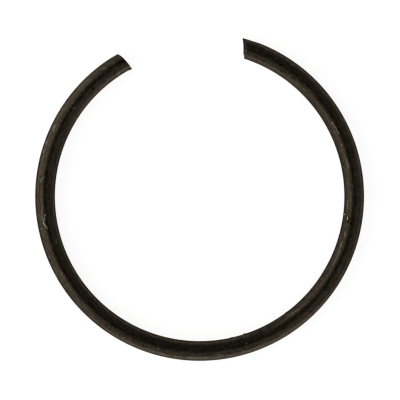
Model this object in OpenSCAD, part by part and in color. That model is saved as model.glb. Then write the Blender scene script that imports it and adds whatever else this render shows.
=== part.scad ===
// Round-wire snap ring for a groove in a bore: one length of spring wire, coiled and sheared.
// It lies flat: the ring's axis is Z, and the middle of its gap is on +Y.

/* [Ring] */
// Diameter over the outside of the relaxed ring
outer_dia = 33; // [26:0.5:60]
// Diameter of the round wire
wire_dia = 2; // [1.2:0.1:2.6]

/* [Gap] */
// Straight distance between the two wire ends, at the middle of the wire
gap_width = 12.1; // [8:0.1:16]

/* [Sheared ends] */
// Slant of the crowned left cut across the wire, seen from above, in degrees
left_skew = 14.5; // [0:0.5:25]
// Slant of the hollow right cut across the wire, seen from above, in degrees
right_skew = 20; // [0:0.5:25]
// Lean of both cuts from the upright, because the wire was cut off a sloping coil, in degrees
cut_lean = 7; // [0:0.5:12]
// Radius of the path that the shear blade swings along
blade_radius = 9.5; // [6:0.5:30]
// Depth of the flat that the blade pressed into the outside of the left end
left_press = 0.04; // [0.02:0.01:0.1]
// Depth of the flat that the blade pressed into the outside of the right end
right_press = 0.06; // [0.02:0.01:0.1]
// Height of the burr that the blade dragged out of the left end's inner edge
burr_height = 0.04; // [0.02:0.01:0.1]
// Length of wire over which that burr rises
burr_length = 0.2; // [0.15:0.01:0.3]

/* [Hidden] */
$fn = 128;

wire_r = wire_dia / 2;
mid_r = outer_dia / 2 - wire_r;
half_gap = asin(gap_width / 2 / mid_r);
left_angle = 90 + half_gap;
right_angle = 90 - half_gap;
// Wire left past each cut before it is trimmed, along the wire and as an angle
spare = 0.6 * wire_dia;
spare_angle = spare / mid_r * 180 / PI;
// Size of the waste that a cut clears away, along the wire and across it
waste_length = 1.5 * wire_dia;
waste_across = 4 * wire_dia;
// Ball whose crown stands out of the wire as the burr, small enough to stay inside the wire elsewhere
burr_ball_r = min(burr_length * burr_length / 2 / burr_height, 0.6 * wire_r);
burr_offset = wire_r / cos(left_skew) + burr_height - burr_ball_r;

// Frame of a wire end: x points outward across the wire, y along it, z up
module at_end(angle) {
    rotate([0, 0, angle])
        translate([mid_r, 0, 0])
            children();
}

// Frame of a cut: the frame of the end, slanted and leaning as the blade passed
module at_cut(angle, skew) {
    at_end(angle)
        rotate([0, 0, skew])
            rotate([cut_lean, 0, 0])
                children();
}

// The round wall that the blade swings along, through the middle of the cut
module blade_path() {
    translate([0, blade_radius, 0])
        cylinder(r = blade_radius, h = waste_across, center = true);
}

// Block of waste from one place along the wire to another
module waste(first, last) {
    translate([-waste_across / 2, first, -waste_across / 2])
        cube([waste_across, last - first, waste_across]);
}

// Waste off the left end, which leaves a crowned face
module left_waste() {
    at_cut(left_angle, left_skew)
        difference() {
            waste(-waste_length, wire_dia);
            blade_path();
        }
}

// Waste off the right end, which leaves a hollow face
module right_waste() {
    at_cut(right_angle, right_skew)
        intersection() {
            waste(-wire_dia, waste_length);
            blade_path();
        }
}

// Sliver that the blade's heel flattens, off the outside of an end
module pressed_flat(angle, depth) {
    at_end(angle)
        translate([wire_r - depth, -waste_length, -waste_across / 2])
            cube([wire_dia, 2 * waste_length, waste_across]);
}

// The wire as coiled, a little too long at both ends
module coiled_wire() {
    rotate_extrude(
        angle = 360 - 2 * half_gap + 2 * spare_angle,
        start = left_angle - spare_angle
    )
        translate([mid_r, 0])
            circle(r = wire_r);
}

// Steel dragged past the inner edge of the left cut
module burr() {
    at_cut(left_angle, left_skew)
        translate([-burr_offset, 0, 0])
            sphere(r = burr_ball_r);
}

module snap_ring() {
    color([0.22, 0.2, 0.17])
        difference() {
            union() {
                coiled_wire();
                burr();
            }
            left_waste();
            right_waste();
            pressed_flat(left_angle, left_press);
            pressed_flat(right_angle, right_press);
        }
}

snap_ring();
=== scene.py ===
# A snap ring of round spring wire, lying on a pale floor and seen from straight above.
import math

import bpy
import numpy as np
from mathutils import Matrix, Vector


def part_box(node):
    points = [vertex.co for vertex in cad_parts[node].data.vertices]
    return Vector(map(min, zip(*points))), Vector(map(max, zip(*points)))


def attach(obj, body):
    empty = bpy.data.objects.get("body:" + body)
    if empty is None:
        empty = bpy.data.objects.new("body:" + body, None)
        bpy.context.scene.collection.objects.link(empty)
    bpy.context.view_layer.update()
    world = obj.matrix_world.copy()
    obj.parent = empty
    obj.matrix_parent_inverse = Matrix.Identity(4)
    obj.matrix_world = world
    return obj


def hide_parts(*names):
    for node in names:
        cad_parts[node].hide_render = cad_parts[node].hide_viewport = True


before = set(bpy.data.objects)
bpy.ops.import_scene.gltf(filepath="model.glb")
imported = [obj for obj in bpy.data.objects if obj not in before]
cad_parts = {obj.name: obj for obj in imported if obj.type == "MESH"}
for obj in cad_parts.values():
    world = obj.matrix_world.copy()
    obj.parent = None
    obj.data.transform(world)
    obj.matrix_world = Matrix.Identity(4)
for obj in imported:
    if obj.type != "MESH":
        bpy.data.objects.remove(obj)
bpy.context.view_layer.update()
ringLow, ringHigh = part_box("snap_ring")

mm = 0.001
scene = bpy.context.scene
scene.view_settings.view_transform = "Standard"
print("frame loaded")

# How the picture was taken. The ring is turned a little in it, and its middle is a little off the
# picture's.
shot = {
    "turn": 6.01,  # degrees that the gap's middle lies left of the picture's top
    "pictureWidth": 40.11,  # millimetres that the picture covers at the wire
    "ringLeft": 0.038,  # millimetres from the picture's middle to the ring's
    "ringUp": 0.362,
    "lens": 300,  # millimetres
    "sensor": 36,
    "clip": (0.01, 10),  # metres
    "pixelSpread": 1.25,  # pixels over which the light for one is gathered
}

# The ring in millimetres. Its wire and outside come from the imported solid, and its ends repeat the
# solid's cuts.
wireRadius = (ringHigh.z - ringLow.z) / 2 / mm
midRadius = -ringLow.y / mm - wireRadius
gapWidth = 12.1
halfGap = math.asin(gapWidth / 2 / midRadius)
cutLean = math.radians(7)
bladeRadius = 9.5
leftEnd = {
    "angle": math.pi / 2 + halfGap,
    "skew": math.radians(14.5),
    "press": 0.04,  # depth of the flat on the outside
    "inward": 1,  # way along the wire from the cut into the metal
    # Place across, breadth and height of each lip of the break
    "lips": [(-1.02, 0.1, 0.055), (0.55, 0.25, 0.012), (-0.25, 0.2, -0.008)],
}
rightEnd = {
    "angle": math.pi / 2 - halfGap + 2 * math.pi,
    "skew": math.radians(20),
    "press": 0.06,
    "inward": -1,
    "lips": [
        (-1.0, 0.09, 0.04),
        (-0.4, 0.17, 0.046),
        (0.45, 0.22, -0.014),
        (0.72, 0.12, 0.01),
        (1.0, 0.11, 0.07),
    ],
}
endStretch = 0.3  # radians round the ring from an end within which its flat and its burr lie
burr = {
    "height": 0.04,
    "length": 0.2,
    "mostOfWire": 0.6,  # largest radius of its ball, as a share of the wire's
}

# Surface of a break. The inner part tore away in waves, and the outer part was sheared smooth.
tear = {
    "end": -0.1,  # place across at which the torn part ends
    "steepness": 9,  # how sharply it does
    "rise": 0.007,
    "fineRise": 0.0025,
    # Each wave: radians for a millimetre across, radians for a millimetre up, and shift
    "waves": [(11, 5, 1.7), (-6, 13, 0)],
    "fineWave": (3, 29, 0),
}
skin = {
    "rows": 930,  # along the wire
    "columns": 100,  # round it
    "faceRows": 12,
    "rimRows": 4,
    "rimSide": 0.018,  # radius of the cuts' edge at the wire's sides and at its top
    "rimTop": 0.05,
    "endCrowding": 0.3,  # how much closer the rows lie near the ends, and the columns on the upper side
    "topCrowding": 0.4,
    "cutRounds": 8,  # times that a point's place on a cut is corrected, and a whole end's rows are
    "endRounds": 4,
    # Scale bits and dents: angle round the ring, which runs from 113 to 427 degrees, angle round the
    # wire, height, length and breadth
    "bumps": [
        (277.0, 180, 0.038, 0.16, 0.3),
        (282.0, 178, 0.08, 0.11, 0.3),
        (300.7, 178, 0.033, 0.16, 0.3),
        (345.2, 118, -0.03, 0.16, 0.16),
        (118.0, 96, -0.022, 0.16, 0.2),
        (168.0, 62, -0.015, 0.25, 0.3),
    ],
}


# Radius from the ring's axis and height of the wire's skin. It is a circle of wire, raised by a
# bell-shaped rise at each bump, cut back to the chord of each pressed flat, and drawn inward over the
# ball of the burr at the left end.
def wireSkin(theta, phi):
    radius = np.full_like(theta, wireRadius)
    for ringAngle, wireAngle, rise, length, breadth in skin["bumps"]:
        along = (theta - math.radians(ringAngle)) * midRadius / length
        turned = np.angle(np.exp(1j * (phi - math.radians(wireAngle))))
        radius += rise * np.exp(-(along**2) - (turned * wireRadius / breadth) ** 2)
    reach = midRadius + radius * np.cos(phi)
    height = radius * np.sin(phi)
    for end in (leftEnd, rightEnd):
        turn = theta - end["angle"]
        flat = (midRadius + wireRadius - end["press"]) / np.cos(np.clip(turn, -endStretch, endStretch))
        reach = np.where(np.abs(turn) < endStretch, np.minimum(reach, flat), reach)
    ball = min(burr["length"] ** 2 / 2 / burr["height"], burr["mostOfWire"] * wireRadius)
    offset = wireRadius / math.cos(leftEnd["skew"]) + burr["height"] - ball
    ballOut = -offset * math.cos(leftEnd["skew"])
    ballAlong = -offset * math.sin(leftEnd["skew"])
    turn = theta - leftEnd["angle"]
    out = reach * np.cos(turn) - midRadius
    along = reach * np.sin(turn)
    room = ball**2 - (along - ballAlong) ** 2 - height**2
    drawn = np.minimum(out, ballOut - np.sqrt(np.maximum(room, 0)))
    inBall = (room > 0) & (out < ballOut) & (np.abs(turn) < endStretch)
    reach = np.where(inBall, np.hypot(midRadius + drawn, along), reach)
    return reach, height


# Place of a point in the frame of a cut, across the wire and along it: the end's frame, turned back by
# the cut's slant and then by its lean.
def cutPlace(end, theta, reach, height):
    turn = theta - end["angle"]
    out = reach * np.cos(turn) - midRadius
    along = reach * np.sin(turn)
    across = out * math.cos(end["skew"]) + along * math.sin(end["skew"])
    level = along * math.cos(end["skew"]) - out * math.sin(end["skew"])
    return across, level * math.cos(cutLean) + height * math.sin(cutLean)


# Sine wave over the face of a cut.
def faceWave(wave, across, height):
    perAcross, perHeight, shift = wave
    return np.sin(perAcross * across + perHeight * height + shift)


# Angle round the ring at which a fibre of the wire meets the cut. The cut is the blade's round path,
# less a bell shape at each lip of the break, plus two crossing sine waves where it is torn and a fine
# sine wave all over. The torn part fades out in an S-shaped curve. The angle is corrected until the gap
# between fibre and cut is nil.
def cutAngle(end, reach, height):
    theta = np.full_like(reach, end["angle"])
    for _ in range(skin["cutRounds"]):
        across, along = cutPlace(end, theta, reach, height)
        wall = bladeRadius - np.sqrt(bladeRadius**2 - across**2)
        for place, breadth, rise in end["lips"]:
            wall -= end["inward"] * rise * np.exp(-(((across - place) / breadth) ** 2))
        torn = 1 / (1 + np.exp((across - tear["end"]) * tear["steepness"]))
        first, second = (faceWave(wave, across, height) for wave in tear["waves"])
        wall += tear["rise"] * torn * first * second
        wall += tear["fineRise"] * faceWave(tear["fineWave"], across, height)
        theta = theta + (wall - along) / reach
    return theta


# Rows of one end, from the middle of its face out over the rounded edge to the side: each row is the
# wire's outline shrunk to a share of itself and set back from the cut. The edge is a quarter circle.
def endRows(end, phi):
    rim = skin["rimSide"] + (skin["rimTop"] - skin["rimSide"]) * np.maximum(np.sin(phi), 0) ** 2
    shrunk = rim / wireRadius
    faceShares = np.linspace(0, 1, skin["faceRows"] + 1)[1:, None] * (1 - shrunk)
    quarter = np.linspace(0, math.pi / 2, skin["rimRows"] + 1)[1:, None]
    share = np.vstack([faceShares, 1 - shrunk * (1 - np.sin(quarter))])
    back = np.vstack([np.zeros_like(faceShares), rim * (1 - np.cos(quarter))])
    around = np.broadcast_to(phi, share.shape)
    theta = np.full(share.shape, end["angle"])
    for _ in range(skin["endRounds"]):
        reach, height = wireSkin(theta, around)
        reach = midRadius + share * (reach - midRadius)
        height = share * height
        theta = cutAngle(end, reach, height) + end["inward"] * back / reach
    onFace = (share < 1 - shrunk / 2).astype(float)
    return theta, reach, height, onFace


# Rows between the two ends: each fibre's angle goes from one edge to the other in steps that shorten
# near the ends, a step being one less a share of a cosine.
def sideRows(fromTheta, toTheta, phi):
    step = np.linspace(0, 1, skin["rows"] + 2)[1:-1, None]
    step = step - skin["endCrowding"] * np.sin(2 * math.pi * step) / (2 * math.pi)
    theta = fromTheta + (toTheta - fromTheta) * step
    reach, height = wireSkin(theta, np.broadcast_to(phi, theta.shape))
    return theta, reach, height, np.zeros_like(theta)


# Marks on the wire's upper side, and bands of painted reflection above and below. A line is a list of
# places, each an angle round the ring in degrees and a distance outward from the wire's middle in
# millimetres, with a width in millimetres and a strength.
marks = {
    "brightMarks": [
        ([(180.7, 0.04), (182.0, 0.18), (183.7, 0.37), (186.1, 0.05)], 0.085, 0.62),
        ([(177.2, 0.16), (179.5, 0.38), (181.6, 0.42), (183.0, 0.38)], 0.12, 0.09),
        ([(185.6, 0.61), (185.9, 0.67)], 0.11, 0.45),
        ([(166.9, 0.08), (167.2, 0.3), (167.9, 0.42), (169.0, 0.46)], 0.17, 0.09),
        ([(138.7, -0.15), (139.2, -0.12)], 0.2, 0.2),
        ([(120.2, 0.36), (120.3, 0.52), (121.2, 0.58), (121.6, 0.46)], 0.1, 0.14),
        ([(147.9, 0.64), (149.2, 0.6)], 0.24, 0.11),
        ([(149.5, 0.52), (150.0, 0.51)], 0.1, 0.2),
        ([(154.2, 0.79), (155.4, 0.78)], 0.16, 0.1),
        ([(157.6, 0.73), (158.5, 0.74)], 0.16, 0.1),
        ([(159.5, 0.54), (159.8, 0.52)], 0.11, 0.2),
        ([(116.6, -0.77), (118.0, -0.81)], 0.1, 0.14),
        ([(190.9, -0.48), (191.8, -0.46)], 0.14, 0.12),
        ([(202.8, 0.26), (205.1, 0.24)], 0.09, 0.14),
        ([(235.5, 0.54), (236.2, 0.51)], 0.1, 0.2),
        ([(248.5, 0.29), (249.1, 0.27)], 0.1, 0.28),
        ([(259.3, 0.68), (263.0, 0.65), (266.7, 0.67)], 0.15, 0.07),
        ([(270.5, 0.6), (271.9, 0.46)], 0.13, 0.18),
        # Painted highlight on the raised scale bit at 277 degrees
        ([(277.3, -0.98), (277.6, -0.98)], 0.14, 0.5),
        ([(279.6, 0.63), (279.8, 0.56)], 0.12, 0.22),
        ([(281.3, -0.08), (281.5, -0.06)], 0.13, 0.7),
        ([(300.0, -0.66), (305.3, -0.47)], 0.14, 0.1),
        ([(305.3, -0.47), (309.9, -0.32), (315.5, -0.2)], 0.1, 0.045),
        ([(326.5, -0.44), (327.0, -0.46)], 0.12, 0.24),
        ([(326.6, -0.45), (330.3, -0.47), (334.9, -0.56), (336.6, -0.51)], 0.1, 0.1),
        ([(334.4, -0.55), (335.3, -0.56)], 0.12, 0.26),
        ([(338.6, -0.45), (340.4, -0.47)], 0.18, 0.1),
        ([(344.9, -0.52), (346.1, -0.55)], 0.075, 1.0),
        ([(346.9, -0.88), (347.1, -0.87)], 0.13, 0.9),
        ([(349.9, -0.66), (352.4, -0.68)], 0.1, 0.16),
        ([(357.0, -0.2), (359.5, -0.14)], 0.12, 0.12),
        ([(1.4, 0.6), (1.9, 0.58)], 0.11, 0.16),
        ([(1.7, 0.29), (2.1, 0.28)], 0.11, 0.2),
        ([(4.9, -0.36), (6.6, -0.37), (8.6, -0.34)], 0.2, 0.08),
        ([(13.7, -0.38), (14.1, -0.37)], 0.11, 0.2),
        ([(18.3, -0.21), (19.6, -0.26), (21.0, -0.24)], 0.085, 0.36),
        ([(21.0, -0.25), (21.9, -0.26), (23.3, -0.34)], 0.22, 0.14),
        ([(48.5, 0.64), (49.2, 0.63)], 0.12, 0.12),
        ([(66.75, 0.06), (66.5, -0.1), (66.1, -0.27)], 0.1, 0.14),
    ],
    "darkMarks": [
        ([(128.4, -0.35), (128.75, -0.33)], 0.36, 1.0),
        ([(115.1, 0.16), (114.0, 0.09), (112.9, 0.04)], 0.28, 0.9),
        ([(115.1, 0.16), (117.0, 0.16), (119.3, 0.2)], 0.3, 0.5),
        ([(212.0, 0.03), (213.6, 0.02)], 0.15, 0.7),
        ([(343.7, -0.12), (344.3, -0.06)], 0.28, 0.9),
        ([(343.9, -0.44), (344.9, -0.38), (345.8, -0.37)], 0.26, 1.0),
        ([(19.0, -0.11), (21.8, -0.13)], 0.14, 0.8),
        ([(16.4, -0.06), (17.0, -0.1)], 0.17, 0.6),
        ([(278.9, -0.5), (279.2, -0.42)], 0.26, 0.8),
        ([(280.3, 0.03), (280.5, -0.1)], 0.26, 0.7),
        ([(281.2, -0.64), (281.9, -0.24)], 0.16, 0.5),
        ([(168.0, 0.26), (169.5, 0.32)], 0.16, 0.4),
    ],
    # Painted reflection: lighter bands along the edges that face the picture's bottom and left, where
    # the bright floor and lamps are mirrored
    "reflectionBands": [
        ([(angle, 0.9) for angle in range(214, 334, 4)], 0.44, 0.47),
        ([(angle, 0.72) for angle in range(116, 176, 4)], 0.44, 0.24),
        ([(angle, -0.8) for angle in range(104, 152, 4)], 0.7, 0.4),
        ([(angle, -0.8) for angle in range(36, 84, 4)], 0.75, 0.36),
    ],
}
markEdge = {
    "fray": 1.6,  # how far a noise frays a mark's edge
    "full": 0.7,  # depth inside the edge at which a mark is at its full strength
    "bandFade": 0.2,  # share of its length over which a band fades out at each end
}


# How far inside a mark each point lies, and how strong that mark is: one less the distance to the
# nearest stretch of the line, seen from above and counted in half widths. Outside every mark it is
# below 0. A band fades out towards its ends in a straight ramp.
def markField(points, lines, band):
    depth = np.full(len(points), -1.0)
    strength = np.zeros(len(points))
    for places, width, power in lines:
        angles, outs = np.array(places).T
        turns = np.radians(angles)
        spots = (midRadius + outs)[:, None] * np.stack([np.cos(turns), np.sin(turns)], 1)
        for number, (start, end) in enumerate(zip(spots, spots[1:])):
            run = end - start
            share = np.clip((points[:, :2] - start) @ run / (run @ run), 0, 1)
            distance = np.linalg.norm(points[:, :2] - start - share[:, None] * run, axis=1)
            here = np.where(band | (points[:, 2] > 0), 1 - 2 * distance / width, -1.0)
            passed = (number + share) / (len(spots) - 1)
            toEnd = np.minimum(passed, 1 - passed)
            fade = np.clip(toEnd / markEdge["bandFade"], 0, 1) if band else 1
            strength = np.where(here > depth, power * fade, strength)
            depth = np.maximum(depth, here)
    return depth, strength


# Stores a value or a vector for each vertex, for the material to read.
def storeValues(mesh, name, values):
    kind, slot = ("FLOAT_VECTOR", "vector") if values.ndim == 2 else ("FLOAT", "value")
    mesh.attributes.new(name, kind, "POINT").data.foreach_set(slot, values.ravel())


# The whole ring as one closed grid: a row for each place along the wire, a column for each angle round
# it, and one vertex in the middle of each cut face.
def makeRing():
    columns = skin["columns"]
    phi = np.arange(columns) * 2 * math.pi / columns
    phi = phi + skin["topCrowding"] * np.cos(phi)
    left = endRows(leftEnd, phi)
    right = endRows(rightEnd, phi)
    side = sideRows(left[0][-1], right[0][-1], phi)
    theta, reach, height, face = (
        np.vstack([a, b, c[::-1]]) for a, b, c in zip(left, side, right)
    )
    middles = np.array([[midRadius, 0.0]])
    poles = [cutAngle(end, middles[:, 0], middles[:, 1])[0] for end in (leftEnd, rightEnd)]
    theta = np.concatenate([poles[:1], theta.ravel(), poles[1:]])
    reach = np.concatenate([[midRadius], reach.ravel(), [midRadius]])
    height = np.concatenate([[0], height.ravel(), [0]])
    face = np.concatenate([[1], face.ravel(), [1]])
    points = np.stack([reach * np.cos(theta), reach * np.sin(theta), height], 1)

    rows = len(face[1:-1]) // columns
    index = 1 + np.arange(rows * columns).reshape(rows, columns)
    beside = np.roll(index, -1, axis=1)
    quads = np.stack([index[:-1], index[1:], beside[1:], beside[:-1]], -1).reshape(-1, 4)
    last = len(points) - 1
    firstFan = np.stack([np.zeros(columns, int), index[0], beside[0]], 1)
    lastFan = np.stack([np.full(columns, last), beside[-1], index[-1]], 1)
    mesh = bpy.data.meshes.new("wire_ring")
    mesh.from_pydata((points * mm).tolist(), [], quads.tolist() + firstFan.tolist() + lastFan.tolist())

    # Millimetres along the wire, outward and up, as if it were straight
    storeValues(mesh, "straightWire", np.stack([theta * midRadius, reach - midRadius, height], 1))
    storeValues(mesh, "cutFace", face)
    for name, lines in marks.items():
        depth, strength = markField(points, lines, name == "reflectionBands")
        storeValues(mesh, name, np.stack([depth, strength, np.zeros_like(depth)], 1))
    mesh.shade_smooth()
    mesh.update()
    piece = bpy.data.objects.new("wire_ring", mesh)
    scene.collection.objects.link(piece)
    return piece


wireRing = makeRing()
print("ring made:", len(wireRing.data.polygons), "faces")


# New material, and its node tree with nothing in it.
def newMaterial(name):
    material = bpy.data.materials.new(name)
    material.use_nodes = True
    material.node_tree.nodes.clear()
    return material, material.node_tree


# Adds a shader node, sets its options and feeds its inputs: a socket is linked, a plain value is set.
def addNode(tree, kind, feeds=(), **options):
    node = tree.nodes.new(kind)
    for name, value in options.items():
        setattr(node, name, value)
    for name, value in dict(feeds).items():
        if isinstance(value, bpy.types.NodeSocket):
            tree.links.new(value, node.inputs[name])
        else:
            node.inputs[name].default_value = value
    return node


# Result of one sum on up to three values or sockets.
def calc(tree, operation, *values, clamp=False):
    node = addNode(tree, "ShaderNodeMath", enumerate(values), operation=operation, use_clamp=clamp)
    return node.outputs[0]


# Sum of the parts that are named in the weights, each times its weight.
def weightedSum(tree, parts, weights):
    terms = [calc(tree, "MULTIPLY", parts[name], weight) for name, weight in weights.items()]
    total = terms[0]
    for term in terms[1:]:
        total = calc(tree, "ADD", total, term)
    return total


# Cloudy pattern from 0 to 1 in the wire's own straightened space, with a grain size in millimetres along
# and across.
def wireNoise(tree, place, along, across, detail, roughness, shift):
    stretched = addNode(tree, "ShaderNodeMapping", {
        "Vector": place,
        "Location": (shift, shift, -shift),
        "Scale": (1 / along, 1 / across, 1 / across),
    })
    return addNode(tree, "ShaderNodeTexNoise", {
        "Vector": stretched.outputs[0],
        "Scale": 1.0,
        "Detail": detail,
        "Roughness": roughness,
    }).outputs["Fac"]


# Straight ramp of a value between two limits, held to 0 and 1 outside them, or an S-shaped one.
def ramp(tree, value, low, high, smooth=False):
    return addNode(tree, "ShaderNodeMapRange", {"Value": value, "From Min": low, "From Max": high},
                   interpolation_type="SMOOTHSTEP" if smooth else "LINEAR", clamp=True).outputs[0]


# Mix of two colours or sockets by a share.
def blendColour(tree, share, first, second, way="MIX"):
    node = tree.nodes.new("ShaderNodeMix")
    node.data_type = "RGBA"
    node.blend_type = way
    sockets = {s.identifier: s for s in node.inputs}
    for name, value in (("Factor_Float", share), ("A_Color", first), ("B_Color", second)):
        if isinstance(value, bpy.types.NodeSocket):
            tree.links.new(value, sockets[name])
        else:
            sockets[name].default_value = value
    return next(s for s in node.outputs if s.identifier == "Result_Color")


# Share of the marks of one kind: a smooth rise over the inner part of each mark, with an edge frayed by
# a noise, times the mark's strength.
def markShare(tree, name, noise):
    field = addNode(tree, "ShaderNodeAttribute", attribute_name=name).outputs["Vector"]
    parts = addNode(tree, "ShaderNodeSeparateXYZ", {0: field}).outputs
    centred = calc(tree, "SUBTRACT", noise, 0.5)
    frayed = calc(tree, "MULTIPLY_ADD", centred, markEdge["fray"], parts["X"])
    return calc(tree, "MULTIPLY", ramp(tree, frayed, 0.0, markEdge["full"], smooth=True), parts["Y"])


# Finish of the ring: a thin brown-black oxide on drawn steel, slightly oily. Some of its layers are
# painted shade and painted reflection.
oxide = {
    "dark": (0.0149, 0.0129, 0.0096, 1),
    "brown": (0.0620, 0.0501, 0.0353, 1),
    # Colour of the painted reflection bands
    "reflectionPaint": (0.105, 0.083, 0.062, 1),
    "worn": (0.15, 0.135, 0.112, 1),
    # Bare steel of the scratches, also the colour of the painted highlight on the scale bit at 277
    # degrees
    "bareSteelAndHighlight": (0.56, 0.52, 0.45, 1),
    # Near black of scale, pits and dark marks, also used for the painted shade on the inner side and on
    # the cut faces
    "scaleAndShade": (0.007, 0.0056, 0.004, 1),
    "olive": (0.86, 1.045, 0.87, 1),
    "russet": (1.165, 0.955, 1.065, 1),
    "edgeTint": (0.4, 0.4, 0.41, 1),
    "faceTint": (0.28, 0.25, 0.225, 1),
    # Each noise: grain along the wire and across it in millimetres, detail, roughness and shift
    "noises": {
        "lines": (3.5, 0.1, 4, 0.6, 0.0),
        "streaks": (0.8, 0.11, 4, 0.65, 17.3),
        "mottle": (0.9, 0.4, 5, 0.65, 3.1),
        "grain": (0.32, 0.14, 4, 0.65, 7.7),
        "flecks": (0.15, 0.1, 2, 0.5, 12.3),
        "rub": (2.2, 0.5, 3, 0.6, 21.9),
        "hue": (1.8, 0.6, 5, 0.8, 33.1),
        "waves": (2.6, 0.8, 2, 0.5, 41.7),
    },
    # Parts of the noises in the tone from dark to brown, and in the height of the skin in millimetres
    "toneParts": {"lines": 0.13, "streaks": 0.18, "mottle": 0.19, "grain": 0.5},
    "riseParts": {"lines": 0.004, "grain": 0.009, "waves": 0.022},
    "pitDepth": 0.006,
    "scratchDepth": 0.008,
    # Values of a noise between which each of these comes in
    "toneLimits": (0.4, 0.6),
    "hueLimits": (0.35, 0.65),
    "fleckLimits": (0.63, 0.72),
    "rubLimits": (0.5, 0.62),
    "pitLimits": (0.34, 0.27),
    "grainLimits": (0.3, 0.7),
    # Millimetres outward from the wire's middle between which the painted shade on the inner side and
    # the painted shade on the outer part of a cut face come in
    "innerLimits": (-0.1, -0.4),
    "faceShadeLimits": (-0.4, 0.1),
    # Strength of each layer of colour that isn't a mark
    "innerShadeShare": 0.14,
    "fleckShare": 0.7,
    "pitShare": 0.8,
    # Strength of the painted shade on the outer part of a cut face
    "faceShadeShare": 0.85,
    "roughness": (0.16, 0.3),
    "scratchRoughness": 0.2,  # what a scratch and a cut face add
    "faceRoughness": 0.25,
}


def makeOxideSteel():
    material, tree = newMaterial("oxide_spring_steel")
    wire = addNode(tree, "ShaderNodeAttribute", attribute_name="straightWire").outputs["Vector"]
    face = addNode(tree, "ShaderNodeAttribute", attribute_name="cutFace").outputs["Fac"]
    out = addNode(tree, "ShaderNodeSeparateXYZ", {0: wire}).outputs["Y"]
    noises = {name: wireNoise(tree, wire, *shape) for name, shape in oxide["noises"].items()}
    brightMarks = markShare(tree, "brightMarks", noises["grain"])
    darkMarks = markShare(tree, "darkMarks", noises["grain"])
    # Painted reflection along the edges that face the picture's bottom and left
    reflectionBands = markShare(tree, "reflectionBands", noises["mottle"])
    # Painted shade: the inner side of the wire is darker towards its inner edge
    inner = ramp(tree, out, *oxide["innerLimits"])
    flecks = ramp(tree, noises["flecks"], *oxide["fleckLimits"])
    flecks = calc(tree, "MULTIPLY", flecks, ramp(tree, noises["rub"], *oxide["rubLimits"]))
    pits = ramp(tree, noises["flecks"], *oxide["pitLimits"])
    # Painted shade: the outer part of each cut face is painted nearly black, and its edge tint is
    # lowered there
    shadedFace = calc(tree, "MULTIPLY", face, ramp(tree, out, *oxide["faceShadeLimits"]))

    tone = ramp(tree, weightedSum(tree, noises, oxide["toneParts"]), *oxide["toneLimits"])
    colour = blendColour(tree, tone, oxide["dark"], oxide["brown"])
    hue = ramp(tree, noises["hue"], *oxide["hueLimits"])
    tint = blendColour(tree, hue, oxide["olive"], oxide["russet"])
    colour = blendColour(tree, 1.0, colour, tint, "MULTIPLY")
    layers = [
        (reflectionBands, "reflectionPaint"),
        # painted shade on the inner side
        (calc(tree, "MULTIPLY", inner, oxide["innerShadeShare"]), "scaleAndShade"),
        (calc(tree, "MULTIPLY", flecks, oxide["fleckShare"]), "worn"),
        (calc(tree, "MULTIPLY", pits, oxide["pitShare"]), "scaleAndShade"),
        (darkMarks, "scaleAndShade"),
        (brightMarks, "bareSteelAndHighlight"),
        # painted shade on the outer part of the cut faces
        (calc(tree, "MULTIPLY", shadedFace, oxide["faceShadeShare"]), "scaleAndShade"),
    ]
    for share, paint in layers:
        colour = blendColour(tree, share, colour, oxide[paint])

    roughness = addNode(tree, "ShaderNodeMapRange", {
        "Value": noises["grain"],
        "From Min": oxide["grainLimits"][0],
        "From Max": oxide["grainLimits"][1],
        "To Min": oxide["roughness"][0],
        "To Max": oxide["roughness"][1],
    }).outputs[0]
    scratched = calc(tree, "MULTIPLY", brightMarks, oxide["scratchRoughness"])
    roughness = calc(tree, "ADD", roughness, scratched)
    broken = calc(tree, "MULTIPLY", face, oxide["faceRoughness"])
    roughness = calc(tree, "ADD", roughness, broken, clamp=True)

    rise = weightedSum(tree, noises, oxide["riseParts"])
    rise = calc(tree, "SUBTRACT", rise, calc(tree, "MULTIPLY", pits, oxide["pitDepth"]))
    rise = calc(tree, "SUBTRACT", rise, calc(tree, "MULTIPLY", brightMarks, oxide["scratchDepth"]))
    bump = addNode(tree, "ShaderNodeBump", {"Height": rise, "Strength": 1.0, "Distance": mm})
    edge = blendColour(tree, shadedFace, oxide["edgeTint"], oxide["faceTint"])
    shader = addNode(tree, "ShaderNodeBsdfPrincipled", {
        "Base Color": colour,
        "Metallic": 1.0,
        "Roughness": roughness,
        "Specular Tint": edge,
        "Normal": bump.outputs[0],
    })
    addNode(tree, "ShaderNodeOutputMaterial", {"Surface": shader.outputs[0]})
    return material


wireRing.data.materials.append(makeOxideSteel())
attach(wireRing, "root")
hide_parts("snap_ring")
print("ring finished")

# The floor is white and a little glossy. It adds light of its own where the camera or a reflection looks
# at it, and the camera sees a darker paint under that light, so that the ring's shadow is faint.
floorLook = {
    "halfWidth": 1.5,  # metres
    "paint": (0.8, 0.8, 0.8, 1),
    "seenPaint": (0.25, 0.25, 0.25, 1),
    "seenGlow": 0.88,
    "mirroredGlow": 0.68,
    "roughness": 0.12,
    "gloss": 0.9,
}


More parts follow.
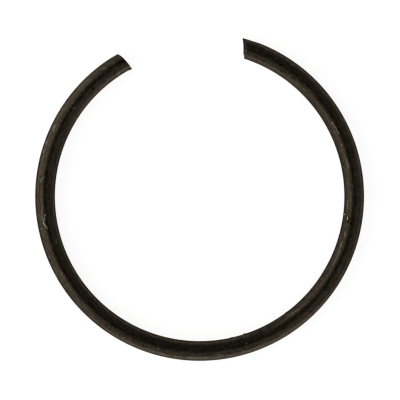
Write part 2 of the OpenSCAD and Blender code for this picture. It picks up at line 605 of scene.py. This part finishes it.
def makeFloor():
    half = floorLook["halfWidth"]
    low = ringLow.z
    mesh = bpy.data.meshes.new("floor")
    corners = [(-half, -half, low), (half, -half, low), (half, half, low), (-half, half, low)]
    mesh.from_pydata(corners, [], [(0, 1, 2, 3)])
    material, tree = newMaterial("pale_floor")
    rays = addNode(tree, "ShaderNodeLightPath").outputs
    mirrored = calc(tree, "MAXIMUM", rays["Is Glossy Ray"], rays["Is Transmission Ray"])
    mirrored = calc(tree, "MULTIPLY", mirrored, floorLook["mirroredGlow"])
    seen = calc(tree, "MULTIPLY", rays["Is Camera Ray"], floorLook["seenGlow"])
    paint = blendColour(tree, rays["Is Camera Ray"], floorLook["paint"], floorLook["seenPaint"])
    shader = addNode(tree, "ShaderNodeBsdfPrincipled", {
        "Base Color": paint,
        "Roughness": floorLook["roughness"],
        "Specular IOR Level": floorLook["gloss"],
        "Emission Color": (1, 1, 1, 1),
        "Emission Strength": calc(tree, "ADD", mirrored, seen),
    })
    addNode(tree, "ShaderNodeOutputMaterial", {"Surface": shader.outputs[0]})
    mesh.materials.append(material)
    floor = bpy.data.objects.new("floor", mesh)
    scene.collection.objects.link(floor)


makeFloor()

# Directions of the picture in the ring's own frame
pictureTurn = math.radians(shot["turn"])
pictureRight = np.array([math.cos(pictureTurn), -math.sin(pictureTurn), 0])
pictureUp = np.array([math.sin(pictureTurn), math.cos(pictureTurn), 0])
straightUp = np.array([0, 0, 1])


# Direction that lies a way round the picture, in degrees from its right, along the floor.
def levelWay(way):
    turned = math.radians(way)
    return math.cos(turned) * pictureRight + math.sin(turned) * pictureUp


# Puts an object at a spot, with its own three axes along the given directions.
def placeObject(piece, side, over, back, spot):
    matrix = np.eye(4)
    matrix[:3] = np.stack([side, over, back, spot], 1)
    piece.matrix_world = Matrix(matrix)
    scene.collection.objects.link(piece)


# Soft lamps: way round the picture and height above the floor in degrees, distance, width and height in
# metres, and brightness of the lit panel. Their light is a touch warmer than the room's.
lampColour = (1, 0.97, 0.93)
lamps = {
    "left_softbox": (175, 29, 0.30, 0.72, 0.42, 1.0),
    "near_softbox": (268, 4, 0.30, 0.70, 0.13, 1.3),
}


def makeLamps():
    for name, (way, rise, distance, width, height, brightness) in lamps.items():
        lamp = bpy.data.lights.new(name, "AREA")
        lamp.shape = "ELLIPSE"
        lamp.color = lampColour
        lamp.size = width
        lamp.size_y = height
        panel = math.pi / 4 * width * height
        lamp.energy = brightness * math.pi * panel
        piece = bpy.data.objects.new(name, lamp)
        raised = math.radians(rise)
        back = math.cos(raised) * levelWay(way) + math.sin(raised) * straightUp
        side = np.cross(straightUp, back)
        side /= np.linalg.norm(side)
        piece.visible_camera = False
        placeObject(piece, side, np.cross(back, side), back, distance * back)


makeLamps()

# The room is a plain grey: dark straight overhead, where the camera is, and paler to the picture's
# bottom left.
room = {
    # Sine of the height above the floor, and grey
    "levels": [(0.0, 0.5), (0.5, 0.46), (0.8, 0.48), (0.93, 0.35), (0.98, 0.19), (0.996, 0.12)],
    "paleWay": 262,  # degrees round the picture
    "paler": -0.1,  # how much paler it is that way at the level of the floor
    "palerAbove": 1.2,  # what that gains with the sine of the height
}


def makeRoom():
    world = bpy.data.worlds.new("room")
    world.use_nodes = True
    tree = world.node_tree
    tree.nodes.clear()
    way = addNode(tree, "ShaderNodeTexCoord").outputs["Generated"]
    rise = addNode(tree, "ShaderNodeSeparateXYZ", {0: way}).outputs["Z"]
    grey = addNode(tree, "ShaderNodeValToRGB", {0: calc(tree, "ADD", rise, 0.0, clamp=True)})
    stops = grey.color_ramp.elements
    for place, level in room["levels"]:
        stop = stops[0] if place == 0 else stops.new(place)
        stop.color = (level, level, level, 1)
    stops.remove(stops[-1])
    pale = {0: way, 1: levelWay(room["paleWay"])}
    towards = addNode(tree, "ShaderNodeVectorMath", pale, operation="DOT_PRODUCT").outputs["Value"]
    gain = calc(tree, "MULTIPLY_ADD", rise, room["palerAbove"], room["paler"])
    share = calc(tree, "MULTIPLY_ADD", towards, gain, 1.0)
    strength = calc(tree, "MULTIPLY", grey.outputs[0], share)
    light = addNode(tree, "ShaderNodeBackground", {"Color": (1, 1, 1, 1), "Strength": strength})
    addNode(tree, "ShaderNodeOutputWorld", {"Surface": light.outputs[0]})
    scene.world = world


makeRoom()
print("floor, lamps and room made")


def makeCamera():
    camera = bpy.data.cameras.new("camera")
    camera.lens = shot["lens"]
    camera.sensor_width = shot["sensor"]
    camera.clip_start, camera.clip_end = shot["clip"]
    piece = bpy.data.objects.new("camera", camera)
    distance = shot["pictureWidth"] * mm * shot["lens"] / shot["sensor"]
    spot = (shot["ringLeft"] * pictureRight - shot["ringUp"] * pictureUp) * mm + distance * straightUp
    placeObject(piece, pictureRight, pictureUp, straightUp, spot)
    scene.camera = piece


makeCamera()
scene.cycles.filter_width = shot["pixelSpread"]
print("camera made")
